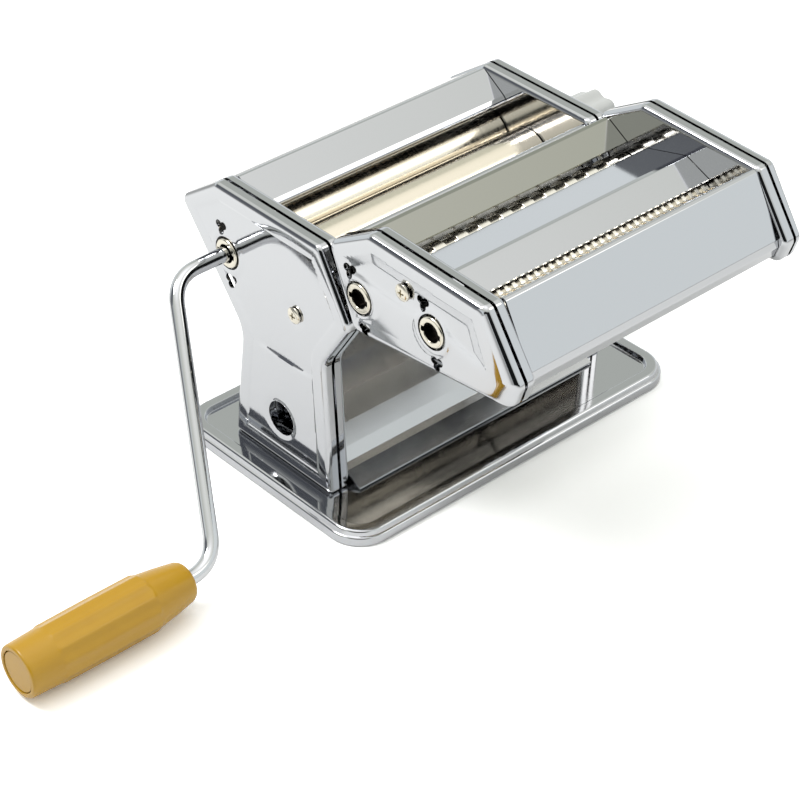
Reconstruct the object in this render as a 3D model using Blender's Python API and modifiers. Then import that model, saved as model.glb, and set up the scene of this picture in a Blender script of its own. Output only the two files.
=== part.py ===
# Hand-cranked pasta roller: mirror-plated body on a flat base, lift-off double cutter, crank with handle.
# Frame: X along the rollers with the crank at -X, -Y the cutter side, +Z up.
# z = 0 is the underside of the base plate; the rubber feet stand below it.

import math

import bmesh
import bpy
from mathutils import Matrix, Vector

MM = 0.001
RUN = 0.06 * MM          # running clearance of a journal in its bearing
GAP = 0.3 * MM           # gap between pieces that sit against each other

# Overall sizes
BASE_SPARE = 15.4 * MM   # how far the base reaches past each outer cover
BASE_Y = 128.6 * MM
INSIDE = 147.0 * MM      # distance between the inner covers' faces
SIDE_THICK = 12.1 * MM   # one side housing, inner face to outer face
SEAM = 1.6 * MM          # open line between the two pans of a housing
SHEET = 1.0 * MM         # wall of the pressed covers and panels
BEND = 2.4 * MM          # outside bend of the covers' edges

# Base
PLATE_T = 1.2 * MM
FOOT_H = 4.0 * MM
FOOT_R = 7.0 * MM
FOOT_POCKET = 0.6 * MM   # depth of the round pocket that each foot sits in
FOOT_INSET = 21.0 * MM   # distance of each foot's axis from the base's edges
BASE_CORNER = 17.0 * MM
RIM_H = 3.6 * MM         # height of the rim over the plate's underside

# Sheet rollers
ROLLER_R = 13.4 * MM
ROLLER_GAP = 0.4 * MM
JOURNAL_R = 4.5 * MM
ROLLER_Z = 97.0 * MM
DRIVE_Y = 38.5 * MM
THICKNESS_TRAVEL = 3.0 * MM

# Crank
CRANK_ROD_R = 3.5 * MM
CRANK_REACH = 29.4 * MM  # distance of the first bend from the outer cover
CRANK_ARM = 117.3 * MM   # distance of the handle's axis from the shaft's axis
CRANK_SPREAD = 45.0 * MM # the arm leans outward by this much
CRANK_ANGLE = 42.5       # degrees forward of straight down
HANDLE_LENGTH = 86.0 * MM
HANDLE_R = 13.3 * MM

# Thickness knob
KNOB_STAND = 4.4 * MM    # distance of the knob's back from the outer cover
KNOB_LENGTH = 30.0 * MM
KNOB_LOBES = 9

# Double cutter
CUTTER_R = 8.3 * MM
CUTTER_GROOVE = 1.4 * MM
CUTTER_CENTRES = 15.6 * MM
CUTTER_JOURNAL_R = 3.0 * MM
CUTTER_TILT = 15.0       # degrees, front cutter above the driven one
WIDE_SLOT = 6.5 * MM
THIN_SLOT = 2.1 * MM
WIDE_SPARE = 2.0 * MM    # least length left without lands on a wide cutter roller
THIN_SPARE = 4.0 * MM
CUT_CLEAR = 0.15 * MM    # side clearance of a land in its groove
WIDE_YZ = (-50.0 * MM, 117.0 * MM)
THIN_YZ = (-94.0 * MM, 122.5 * MM)

ADJUST_Y = DRIVE_Y - 2 * ROLLER_R - ROLLER_GAP
INNER_X = INSIDE / 2
OUTER_X = INNER_X + SIDE_THICK
BASE_X = 2 * (OUTER_X + BASE_SPARE)
CRANK_OUT = OUTER_X + CRANK_REACH
SEAM_X = INNER_X + SIDE_THICK / 2
SHAFT_END = SEAM_X + 2.6 * MM  # where every roller's journal stops

# Corners (y, z, fillet) of the side housings, anticlockwise seen from +X
BODY_CORNERS = [
    (-29.0, 1.5, 1.5),
    (38.5, 1.5, 1.5),
    (30.5, 61.0, 16.0),
    (71.0, 112.0, 4.0),
    (45.0, 130.0, 4.0),
    (-24.0, 129.5, 4.0),
    (-43.0, 97.0, 6.0),
    (-25.0, 70.0, 14.0),
]
CUTTER_CORNERS = [
    (-45.5, 98.0, 4.0),
    (-30.0, 135.5, 4.0),
    (-55.5, 150.5, 6.0),
    (-123.0, 148.0, 4.0),
    (-142.8, 119.5, 4.0),
    (-139.0, 108.0, 5.0),
]
CLAMP_HOLE = (5.4 * MM, 24.9 * MM, 8.5 * MM)
BODY_SCREW = (-7.1 * MM, 87.0 * MM)
CUTTER_SCREW = (-76.6 * MM, 133.1 * MM)
BODY_LOBES = ((3.6 * MM, 11.9 * MM), (-2.2 * MM, -13.2 * MM))
CUTTER_LOBES = ((6.1 * MM, 10.8 * MM), (-3.3 * MM, -13.4 * MM))
SOCKET_HOLE_R = 8.0 * MM
SOCKET_R = 7.0 * MM
SOCKET_BORE = 4.4 * MM
SCREW_R = 1.9 * MM
GEAR_T = 5.0 * MM
GEAR_BACK = SEAM_X - 2.2 * MM  # inner face of every gear

for old in list(bpy.data.objects):
    bpy.data.objects.remove(old, do_unlink=True)
PART = bpy.data.collections.new("pasta_roller")
CUTTERS = bpy.data.collections.new("cutting_shapes")
bpy.context.scene.collection.children.link(PART)
bpy.context.scene.collection.children.link(CUTTERS)


def finish(name, colour, roughness, metallic):
    """A plain surface of one colour."""
    material = bpy.data.materials.new(name)
    material.use_nodes = True
    shader = material.node_tree.nodes["Principled BSDF"]
    shader.inputs["Base Color"].default_value = (*colour, 1.0)
    shader.inputs["Roughness"].default_value = roughness
    shader.inputs["Metallic"].default_value = metallic
    return material


CHROME = (0.80, 0.81, 0.82)
STEEL = (0.62, 0.61, 0.58)
NICKEL = (0.70, 0.66, 0.56)


def place(name, mesh, material, at=(0, 0, 0), turn=None):
    """One named object of the part."""
    thing = bpy.data.objects.new(name, mesh)
    thing.location = at
    if turn:
        thing.rotation_euler = turn
    mesh.materials.append(finish(name, *material))
    PART.objects.link(thing)
    return thing


def hang(name, mesh, material, pivot):
    """A moving piece with its origin on its joint's axis."""
    mesh.transform(Matrix.Translation(-Vector(pivot)))
    return place(name, mesh, material, pivot)


def wire(name, path, radius, sides, material, pivot):
    """A round rod or coil through points, with its origin on its joint's axis."""
    line = bpy.data.curves.new(name, "CURVE")
    line.dimensions = "3D"
    line.bevel_depth = radius
    line.bevel_resolution = sides
    line.use_fill_caps = True
    run = line.splines.new("POLY")
    run.points.add(len(path) - 1)
    for point, at in zip(run.points, path):
        point.co = (*(Vector(at) - Vector(pivot)), 1)
    thing = bpy.data.objects.new(name, line)
    thing.location = pivot
    line.materials.append(finish(name, *material))
    PART.objects.link(thing)


def shape(name, verts, faces):
    mesh = bpy.data.meshes.new(name)
    mesh.from_pydata([tuple(v) for v in verts], [], faces)
    work = bmesh.new()
    work.from_mesh(mesh)
    bmesh.ops.recalc_face_normals(work, faces=work.faces)
    work.to_mesh(mesh)
    work.free()
    return mesh


def loft(name, rings):
    """A closed solid through rings of equal count, capped at both ends."""
    n = len(rings[0])
    verts = [p for ring in rings for p in ring]
    faces = [list(range(n)), list(range(len(verts) - n, len(verts)))]
    for k in range(len(rings) - 1):
        for i in range(n):
            j = (i + 1) % n
            faces.append([k * n + i, k * n + j, (k + 1) * n + j, (k + 1) * n + i])
    return shape(name, verts, faces)


def cut(thing, meshes):
    """Takes the given closed meshes out of a piece."""
    for k, mesh in enumerate(meshes):
        tool = bpy.data.objects.new(f"{thing.name}.cut{k}", mesh)
        tool.display_type = "WIRE"
        tool.hide_render = True
        CUTTERS.objects.link(tool)
        step = thing.modifiers.new(f"cut{k}", "BOOLEAN")
        step.operation = "DIFFERENCE"
        step.solver = "EXACT"
        step.object = tool


def inset_ring(corners, inset, steps):
    """The rounded outline of corners (y, z, fillet in mm) moved inward, as (y, z) in metres."""
    n = len(corners)
    points = [Vector((c[0], c[1])) * MM for c in corners]
    out = []
    for i in range(n):
        p, before, after = points[i], points[i - 1], points[(i + 1) % n]
        a = (p - before).normalized()
        b = (after - p).normalized()
        inward_a = Vector((-a.y, a.x))
        inward_b = Vector((-b.y, b.x))
        turn = a.x * b.y - a.y * b.x
        half = math.acos(max(-1.0, min(1.0, a.dot(b)))) / 2
        middle = (inward_a + inward_b).normalized()
        corner = p + middle * (inset / math.cos(half))
        fillet = corners[i][2] * MM
        radius = max(fillet - inset, 0.5 * MM) if turn > 0 else fillet + inset
        side = 1 if turn > 0 else -1
        centre = corner + middle * side * radius / math.cos(half)
        start = math.atan2(-side * inward_a.y, -side * inward_a.x)
        sweep = side * 2 * half
        for s in range(steps + 1):
            angle = start + sweep * s / steps
            out.append(centre + radius * Vector((math.cos(angle), math.sin(angle))))
    return out


def disc(name, x0, x1, y, z, r, n=24):
    """A straight round bar along X, as a mesh."""
    rings = []
    for x in (x0, x1):
        ring = []
        for i in range(n):
            a = 2 * math.pi * i / n
            ring.append((x, y + r * math.cos(a), z + r * math.sin(a)))
        rings.append(ring)
    return loft(name, rings)


def bored(name, x0, x1, y, z, r, n):
    """A cutter whose flats clear the radius r."""
    return disc(name, x0, x1, y, z, r / math.cos(math.pi / n), n)


def bar(name, x0, x1, outline):
    """A prism along X with the given (y, z) outline, as a mesh."""
    return loft(name, [[(x0, p[0], p[1]) for p in outline], [(x1, p[0], p[1]) for p in outline]])


def lobed_hole(y, z):
    """Outline of the three-lobed motor hole."""
    out = []
    for i in range(15):
        a = 2 * math.pi * i / 15
        r = (2.7 + 0.75 * math.cos(3 * (a - 0.5))) * MM
        out.append((y + r * math.cos(a), z + r * math.sin(a)))
    return out


def turned(name, profile, yz, material, steps, x_sign=1):
    """A turned piece on an axis along X; profile holds (x, r) along the axis."""
    work = bmesh.new()
    points = [work.verts.new((r, 0, x)) for x, r in profile]
    for a, b in zip(points, points[1:]):
        work.edges.new((a, b))
    closed = profile[0][1] > 0
    if closed:
        work.edges.new((points[-1], points[0]))
    mesh = bpy.data.meshes.new(name)
    work.to_mesh(mesh)
    work.free()
    thing = place(name, mesh, material, (0, *yz), (0, math.radians(90 * x_sign), 0))
    spin = thing.modifiers.new("turn", "SCREW")
    spin.axis = "Z"
    spin.steps = steps
    spin.render_steps = steps
    spin.use_merge_vertices = True
    spin.merge_threshold = 0.00001
    return thing


def folded_sheet(name, path, half_width, material, thick=SHEET):
    """A sheet folded along X through (y, z) points in mm."""
    verts = []
    for y, z in path:
        verts.append((-half_width, y * MM, z * MM))
        verts.append((half_width, y * MM, z * MM))
    faces = [[2 * i, 2 * i + 1, 2 * i + 3, 2 * i + 2] for i in range(len(path) - 1)]
    mesh = bpy.data.meshes.new(name)
    mesh.from_pydata(verts, [], faces)
    thing = place(name, mesh, material)
    skin = thing.modifiers.new("thickness", "SOLIDIFY")
    skin.thickness = thick
    skin.offset = 0
    skin.use_even_offset = True
    return thing


def gear(name, teeth, yz, pitch, phase, bore):
    """A spur gear between the pans on the crank side."""
    y, z = yz
    module = 2 * pitch / teeth
    tip = pitch + 0.8 * module
    root = pitch - 1.15 * module
    step = 2 * math.pi / teeth
    outline = []
    for k in range(teeth):
        for share, r in ((-0.27, root), (-0.11, tip), (0.11, tip), (0.27, root)):
            a = phase + (k + share) * step
            outline.append((y + r * math.cos(a), z + r * math.sin(a)))
    x1 = -GEAR_BACK
    x0 = x1 - GEAR_T
    thing = hang(name, bar(name, x0, x1, outline), (STEEL, 0.35, 1.0), (x1, y, z))
    cut(thing, [bored("bore", x0 - MM, x1 + MM, y, z, bore, 12)])
    return thing


def side_pan(name, corners, side, outer, holes, steps):
    """One pressed cover: an open pan whose face is outward (outer) or inward."""
    face = OUTER_X if outer else INNER_X
    into = -1 if outer else 1
    rim = SEAM_X - into * SEAM / 2
    x = [rim, face + into * BEND, face + into * BEND * 0.3, face]
    skin = [(x[0], 0), (x[1], 0), (x[2], BEND * 0.3), (x[3], BEND)]
    if outer:
        skin += [(face, BEND + 5.5 * MM), (face - 0.4 * MM, BEND + 6.1 * MM)]
    deep = face + into * (SHEET + (0.4 * MM if outer else 0))
    back = [(deep, BEND), (deep + into * (BEND - SHEET), SHEET), (x[0], SHEET)]
    rings = []
    for at, inset in skin + back:
        rings.append([(side * at, p.x, p.y) for p in inset_ring(corners, inset, steps)])
    body, lining = rings[: len(skin)], rings[len(skin):]
    n = len(rings[0])
    verts = [p for ring in body[::-1] + lining[::-1] for p in ring]
    count = len(rings)
    faces = [list(range(n)), list(range(n * (count - 1), n * count))]
    for k in range(count - 1):
        for i in range(n):
            j = (i + 1) % n
            faces.append([k * n + i, k * n + j, (k + 1) * n + j, (k + 1) * n + i])
    thing = place(name, shape(name, verts, faces), (CHROME, 0.06, 1.0))
    cut(thing, holes)
    return thing


def hole(side, outer, y, z, r, n=20):
    """A round cutter through one pan's face."""
    face = OUTER_X if outer else INNER_X
    ends = sorted((side * (face - 4 * MM), side * (face + 4 * MM)))
    return bored("hole", *ends, y, z, r, n)


def lobes(side, centre, offsets):
    """The pair of motor holes either side of a socket."""
    ends = sorted((side * (OUTER_X - 4 * MM), side * (OUTER_X + 4 * MM)))
    return [bar("lobes", *ends, lobed_hole(centre[0] + dy, centre[1] + dz)) for dy, dz in offsets]


def waist_crease(side):
    """The shallow lens pressed across the waist of a side cover."""
    work = bmesh.new()
    bmesh.ops.create_uvsphere(work, u_segments=12, v_segments=8, radius=1.0)
    size = Matrix.Diagonal((1.1 * MM, 22.0 * MM, 2.2 * MM, 1))
    seat = Matrix.Translation((side * (OUTER_X + 0.1 * MM), -1.0 * MM, 60.0 * MM))
    bmesh.ops.transform(work, matrix=seat @ size, verts=work.verts)
    mesh = bpy.data.meshes.new("crease")
    work.to_mesh(mesh)
    work.free()
    return mesh


def body_covers():
    drive = (DRIVE_Y, ROLLER_Z)
    for side, label in ((-1, "crank_side"), (1, "knob_side")):
        outer = [hole(side, True, *CLAMP_HOLE), hole(side, True, *BODY_SCREW, SCREW_R + GAP, 8)]
        if side < 0:
            outer += lobes(side, drive, BODY_LOBES)
            outer.append(hole(side, True, *drive, SOCKET_HOLE_R))
        outer.append(waist_crease(side))
        side_pan(f"body_outer_cover_{label}", BODY_CORNERS, side, True, outer, 3)
        travel = THICKNESS_TRAVEL
        slot = JOURNAL_R + GAP
        ends = sorted((side * (INNER_X - 4 * MM), side * (INNER_X + 4 * MM)))
        sweep = []
        for i in range(9):
            a = math.pi / 2 + math.pi * i / 8
            sweep.append((ADJUST_Y - travel + slot * math.cos(a), ROLLER_Z + slot * math.sin(a)))
        for i in range(9):
            a = -math.pi / 2 + math.pi * i / 8
            sweep.append((ADJUST_Y + slot * math.cos(a), ROLLER_Z + slot * math.sin(a)))
        inner = [
            hole(side, False, *CLAMP_HOLE),
            hole(side, False, *BODY_SCREW, SCREW_R + GAP, 8),
            hole(side, False, *drive, JOURNAL_R + RUN, 20),
            bar("slot", *ends, sweep),
        ]
        side_pan(f"body_inner_cover_{label}", BODY_CORNERS, side, False, inner, 3)


def cutter_axes():
    """(driven, front) axes of the wide and the thin pair."""
    a = math.radians(CUTTER_TILT)
    step = (-CUTTER_CENTRES * math.cos(a), CUTTER_CENTRES * math.sin(a))
    return [(yz, (yz[0] + step[0], yz[1] + step[1])) for yz in (WIDE_YZ, THIN_YZ)]


def cutter_covers():
    pairs = cutter_axes()
    for side, label in ((-1, "crank_side"), (1, "knob_side")):
        outer = [hole(side, True, *CUTTER_SCREW, SCREW_R + GAP, 8)]
        if side < 0:
            for driven, _ in pairs:
                outer += lobes(side, driven, CUTTER_LOBES)
                outer.append(hole(side, True, *driven, SOCKET_HOLE_R))
        side_pan(f"cutter_outer_cover_{label}", CUTTER_CORNERS, side, True, outer, 3)
        inner = [hole(side, False, *CUTTER_SCREW, SCREW_R + GAP, 8)]
        for pair in pairs:
            inner += [hole(side, False, *yz, CUTTER_JOURNAL_R + RUN, 12) for yz in pair]
        side_pan(f"cutter_inner_cover_{label}", CUTTER_CORNERS, side, False, inner, 3)


def rounded_rectangle(inset):
    """Outline of the base at an inset, as (x, y)."""
    half_x, half_y = BASE_X / 2 - inset, BASE_Y / 2 - inset
    radius = BASE_CORNER - inset
    out = []
    for k, (sx, sy) in enumerate(((1, 1), (-1, 1), (-1, -1), (1, -1))):
        for s in range(7):
            a = math.pi / 2 * (k + s / 6)
            cx, cy = sx * (half_x - radius), sy * (half_y - radius)
            out.append((cx + radius * math.cos(a), cy + radius * math.sin(a)))
    return out


def upright(name, top_r, foot_r, low, high):
    """A round stud standing along Z, as a mesh."""
    work = bmesh.new()
    bmesh.ops.create_cone(
        work, cap_ends=True, segments=20, radius1=foot_r, radius2=top_r, depth=high - low
    )
    bmesh.ops.translate(work, vec=(0, 0, (high + low) / 2), verts=work.verts)
    mesh = bpy.data.meshes.new(name)
    work.to_mesh(mesh)
    work.free()
    return mesh


def base():
    """Pressed base plate with a raised bead round the edge and four feet in pockets."""
    rise = RIM_H
    floor = -FOOT_H
    section = [
        (9.0, PLATE_T),
        (8.2, PLATE_T + 0.4 * MM),
        (7.4, rise - 0.3 * MM),
        (6.6, rise),
        (3.4, rise),
        (2.2, rise - 0.7 * MM),
        (1.2, rise - 2.2 * MM),
        (0.4, rise - 2.8 * MM),
        (0.0, rise - 3.8 * MM),
        (0.0, floor + 0.6 * MM),
        (1.2, floor + 0.6 * MM),
        (1.2, rise - 4.2 * MM),
        (3.2, rise - 1.4 * MM),
        (6.2, rise - 1.3 * MM),
        (8.0, 0.0),
    ]
    rings = [[(x, y, z) for x, y in rounded_rectangle(inset * MM)] for inset, z in section]
    plate = place("base_plate", loft("base_plate", rings), (CHROME, 0.06, 1.0))
    pockets = []
    foot_top = FOOT_POCKET - GAP
    for sx, sy, label in ((-1, -1, "fl"), (1, -1, "fr"), (-1, 1, "bl"), (1, 1, "br")):
        x, y = sx * (BASE_X / 2 - FOOT_INSET), sy * (BASE_Y / 2 - FOOT_INSET)
        foot = upright(f"rubber_foot_{label}", FOOT_R, FOOT_R - MM, -FOOT_H, foot_top)
        place(f"rubber_foot_{label}", foot, ((0.03, 0.03, 0.03), 0.8, 0.0), (x, y, 0))
        pocket = upright("pocket", FOOT_R + GAP, FOOT_R + GAP, -FOOT_H, FOOT_POCKET)
        pocket.transform(Matrix.Translation((x, y, 0)))
        pockets.append(pocket)
    cut(plate, pockets)


def body_panels():
    inside = INNER_X - GAP
    chute = [
        (31, 72), (28.5, 62), (24, 52.5), (17.5, 44.5), (8, 37), (-3, 29), (-12, 21),
        (-18.5, 13.5), (-22, 8), (-25, 6.2), (-34.5, 2.2),
    ]
    folded_sheet("pasta_chute", chute, inside, (CHROME, 0.08, 1.0))
    back = [
        (48, 126.4), (66.8, 113.6), (68.4, 111.2), (40.2, 75.6), (35, 68.5), (31.3, 61),
        (30.4, 52), (36.8, 3),
    ]
    folded_sheet("rear_panel", back, inside, (CHROME, 0.08, 1.0))
    rear = [
        (45.6, 126.5), (44.8, 128.3), (43.2, 128.4), (30.2, 119.9), (28.6, 118.3),
        (28.8, 116.6), (30.4, 115.9),
    ]
    folded_sheet("rear_hopper_guard", rear, inside, (CHROME, 0.08, 1.0))
    front = [(-6.5, 108.5), (-21.5, 126.3), (-23.2, 126.4), (-40.2, 97.4), (-38.2, 93.4)]
    folded_sheet("front_hopper_guard", front, inside, (CHROME, 0.08, 1.0))


def scrapers():
    """Blades that lift the dough off the underside of each roller."""
    reach = ROLLER_R + 0.4 * MM
    tip = math.radians(-84)
    y, z = reach * math.cos(tip) / MM, reach * math.sin(tip) / MM
    d, c = DRIVE_Y / MM, ADJUST_Y / MM
    base_z = ROLLER_Z / MM
    width = INNER_X - 1.2 * MM
    rear = [(d + y, base_z + z), (d + y - 0.6, base_z + z - 3.5), (d + y - 4, base_z + z - 9.5)]
    folded_sheet("rear_dough_scraper", rear, width, (STEEL, 0.3, 1.0), 0.7 * MM)
    front = [(c - y, base_z + z), (c - y - 0.8, base_z + z - 3.5), (c - y - 4, base_z + z - 9.5)]
    folded_sheet("front_dough_scraper", front, width, (STEEL, 0.3, 1.0), 0.7 * MM)


def tie_rods():
    width = INNER_X - GAP
    places = {
        "tie_rod_screw": (*BODY_SCREW, 3.5),
        "tie_rod_rear": (57.0 * MM, 107.0 * MM, 3.5),
        "tie_rod_leg": (24.0 * MM, 14.0 * MM, 3.5),
        "cutter_tie_rod_middle": (-79.5 * MM, 107.5 * MM, 3.0),
        "cutter_tie_rod_front": (-124.5 * MM, 114.5 * MM, 3.0),
    }
    for name, (y, z, r) in places.items():
        place(name, disc(name, -width, width, y, z, r * MM, 16), (CHROME, 0.15, 1.0))


def cover_screws():
    """Pan-head cross screws that pass through both pans of a side."""
    head = 4.0 * MM
    tip = INNER_X + GAP
    seat = OUTER_X + GAP
    top = seat + 2.0 * MM
    spots = (("body_screw", BODY_SCREW), ("cutter_screw", CUTTER_SCREW))
    for label, yz in spots:
        for side, end in ((-1, "crank_side"), (1, "knob_side")):
            profile = [
                (top, 0), (top, 2.2 * MM), (top - 0.4 * MM, 3.3 * MM), (seat + 0.4 * MM, head),
                (seat, head), (seat, SCREW_R), (tip, SCREW_R), (tip, 0),
            ]
            name = f"{label}_{end}"
            screw = turned(name, profile, yz, (NICKEL, 0.25, 1.0), 12, side)
            ends = sorted((side * (top - 1.1 * MM), side * (top + MM)))
            wide, slim = 2.0 * MM, 0.45 * MM
            y, z = yz
            plus = [
                (y + wide, z - slim), (y + wide, z + slim), (y + slim, z + slim), (y + slim, z + wide),
                (y - slim, z + wide), (y - slim, z + slim), (y - wide, z + slim), (y - wide, z - slim),
                (y - slim, z - slim), (y - slim, z - wide), (y + slim, z - wide), (y + slim, z - slim),
            ]
            cut(screw, [bar("cross", *ends, plus)])


def sheet_roller(name, yz):
    width = INNER_X - GAP - 0.2 * MM
    end = SHAFT_END
    profile = [
        (end, 0), (end, JOURNAL_R), (width, JOURNAL_R), (width, ROLLER_R),
        (-width, ROLLER_R), (-width, JOURNAL_R), (-end, JOURNAL_R), (-end, 0),
    ]
    turned(name, profile, yz, ((0.72, 0.70, 0.66), 0.16, 1.0), 32)


def socket(name, yz):
    """Ring on a driven shaft's end that takes the crank."""
    y, z = yz
    back = -(SHAFT_END + GAP)
    face = -(OUTER_X + 0.6 * MM)
    profile = [
        (back, SOCKET_R), (face + 0.5 * MM, SOCKET_R), (face, SOCKET_R - 0.6 * MM),
        (face, SOCKET_BORE), (back, SOCKET_BORE),
    ]
    ring = turned(name, profile[::-1], yz, (NICKEL, 0.2, 1.0), 20)
    long, slim = 5.9 * MM, 1.3 * MM
    slot = [(y - long, z - slim), (y + long, z - slim), (y + long, z + slim), (y - long, z + slim)]
    cut(ring, [bar("notch", face - MM, face + 3.4 * MM, slot)])


def sheet_rollers():
    drive, adjust = (DRIVE_Y, ROLLER_Z), (ADJUST_Y, ROLLER_Z)
    sheet_roller("drive_roller", drive)
    sheet_roller("adjustable_roller", adjust)
    teeth = 20
    pitch = ROLLER_R + ROLLER_GAP / 2
    gear("drive_roller_gear", teeth, drive, pitch, math.pi, JOURNAL_R + RUN)
    gear("adjustable_roller_gear", teeth, adjust, pitch, math.pi / teeth, JOURNAL_R + RUN)
    socket("drive_socket", drive)
    inner = INNER_X + SHEET + GAP
    for side, label in ((-1, "crank_side"), (1, "knob_side")):
        bore = JOURNAL_R + RUN
        ends = (inner, GEAR_BACK - GAP)
        profile = [(ends[1], bore), (ends[1], 8.0 * MM), (ends[0], 8.0 * MM), (ends[0], bore)]
        turned(f"adjuster_bearing_{label}", profile, adjust, ((0.55, 0.42, 0.20), 0.35, 1.0), 24, side)


def thickness_knob():
    """Lobed knob that pulls out against a coil spring on a fixed post."""
    y, z = ADJUST_Y, ROLLER_Z
    back = OUTER_X + KNOB_STAND
    front = back + KNOB_LENGTH
    step = back + 9.0 * MM
    post_r = 3.8 * MM
    well_r = 7.4 * MM
    rings = []
    for x, r, depth in (
        (back, 17.6, 0.0), (back + 0.8 * MM, 18.6, 0.0), (back + 6.0 * MM, 18.6, 0.0),
        (back + 7.4 * MM, 17.2, 1.6), (front - 1.6 * MM, 16.6, 2.0), (front, 15.2, 1.8),
    ):
        ring = []
        for i in range(45):
            a = 2 * math.pi * i / 45
            rad = (r - depth * (0.5 - 0.5 * math.cos(KNOB_LOBES * a))) * MM
            ring.append((x, y + rad * math.cos(a), z + rad * math.sin(a)))
        rings.append(ring)
    grey = ((0.62, 0.63, 0.62), 0.35, 0.0)
    knob = hang("thickness_knob", loft("thickness_knob", rings), grey, (back, y, z))
    cut(knob, [
        bored("shaft_hole", back - MM, front + MM, y, z, post_r + 0.1 * MM, 20),
        bored("well", step, front + MM, y, z, well_r, 20),
    ])
    seat = OUTER_X + GAP
    head = front - 2.2 * MM
    profile = [
        (head, 0), (head, 6.3 * MM), (head - 2.4 * MM, 6.3 * MM), (head - 2.4 * MM, post_r),
        (seat + 3.2 * MM, post_r), (seat + 3.2 * MM, 13.0 * MM), (seat, 13.0 * MM), (seat, 0),
    ]
    turned("knob_post", profile, (y, z), (NICKEL, 0.25, 1.0), 20)
    thick, coil_r, turns, per = 0.45 * MM, 5.4 * MM, 4, 10
    start = step + GAP + thick
    end = head - 2.4 * MM - GAP - thick
    path = []
    for i in range(turns * per + 1):
        a = 2 * math.pi * i / per
        x = start + (end - start) * i / (turns * per)
        path.append((x, y + coil_r * math.cos(a), z + coil_r * math.sin(a)))
    wire("knob_spring", path, thick, 1, (STEEL, 0.3, 1.0), (start, y, z))


def crank():
    """Bent rod from the drive socket out and down to the handle's axis."""
    a = math.radians(CRANK_ANGLE)
    y0, z0 = DRIVE_Y, ROLLER_Z
    y1, z1 = y0 - CRANK_ARM * math.sin(a), z0 - CRANK_ARM * math.cos(a)
    second = -(CRANK_OUT + CRANK_SPREAD)
    neck = second - 15.0 * MM
    tip = neck - 62.0 * MM
    corners = [
        Vector((-(SEAM_X + 3.6 * MM), y0, z0)), Vector((-CRANK_OUT, y0, z0)),
        Vector((second, y1, z1)), Vector((tip, y1, z1)),
    ]
    bend = 13.0 * MM
    path = [corners[0]]
    for k in (1, 2):
        p = corners[k]
        u = (corners[k - 1] - p).normalized()
        v = (corners[k + 1] - p).normalized()
        for s in range(9):
            t = s / 8
            path.append(p + u * bend * (1 - t) ** 2 + v * bend * t ** 2)
    path.append(corners[3])
    wire("crank_rod", path, CRANK_ROD_R, 4, (CHROME, 0.08, 1.0), corners[0])
    handle(neck, (y1, z1))


def handle(neck, yz):
    """Plastic grip with shallow flutes, turning freely on the rod's end."""
    y, z = yz
    end = neck - HANDLE_LENGTH
    full = HANDLE_R / MM
    sections = [
        (neck, 7.0, 0), (neck - 0.8 * MM, 8.6, 0), (neck - 2.6 * MM, 9.4, 0),
        (neck - 21.3 * MM, 12.5, 0), (neck - 22.3 * MM, full, 0.55),
        (neck - 46.0 * MM, full, 0.6), (neck - 70.0 * MM, full - 0.2, 0.55),
        (neck - 71.0 * MM, full - 0.7, 0), (end + 1.5 * MM, 12.1, 0), (end + 0.4 * MM, 11.6, 0),
        (end, 10.6, 0),
    ]
    rings = []
    for x, r, depth in sections:
        ring = []
        for i in range(36):
            a = 2 * math.pi * i / 36
            rad = (r - depth * (0.5 - 0.5 * math.cos(12 * a))) * MM
            ring.append((x, y + rad * math.cos(a), z + rad * math.sin(a)))
        rings.append(ring)
    yellow = ((0.58, 0.33, 0.03), 0.3, 0.0)
    grip = hang("crank_handle", loft("crank_handle", rings), yellow, (neck, y, z))
    cut(grip, [
        bored("rod_hole", neck - 64.0 * MM, neck + MM, y, z, CRANK_ROD_R + RUN, 20),
        disc("cap_seat", end - MM, end + 2.6 * MM, y, z, 9.6 * MM, 32),
    ])
    cap = disc("handle_cap", end + 0.2 * MM, end + 2.3 * MM, y, z, 9.3 * MM, 32)
    hang("handle_cap", cap, yellow, (end, y, z))


def slotted_roller(name, yz, slot, first, spare, steps):
    """A cutter roller whose lands sit in the other roller's grooves."""
    width = INNER_X - GAP - 0.2 * MM
    count = int((2 * width - spare) / slot)
    x = -count * slot / 2
    low, high = CUTTER_R - CUTTER_GROOVE, CUTTER_R
    end = SHAFT_END
    journal = CUTTER_JOURNAL_R
    left = [(-end, 0), (-end, journal), (-width, journal), (-width, low)]
    middle = []
    for k in range(count):
        if k % 2 != first:
            continue
        a, b = x + k * slot + CUT_CLEAR, x + (k + 1) * slot - CUT_CLEAR
        middle += [(a, low), (a, high), (b, high), (b, low)]
    right = [(width, low), (width, journal), (end, journal), (end, 0)]
    profile = (left + middle + right)[::-1]
    turned(name, profile, yz, ((0.70, 0.69, 0.66), 0.22, 1.0), steps)


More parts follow.
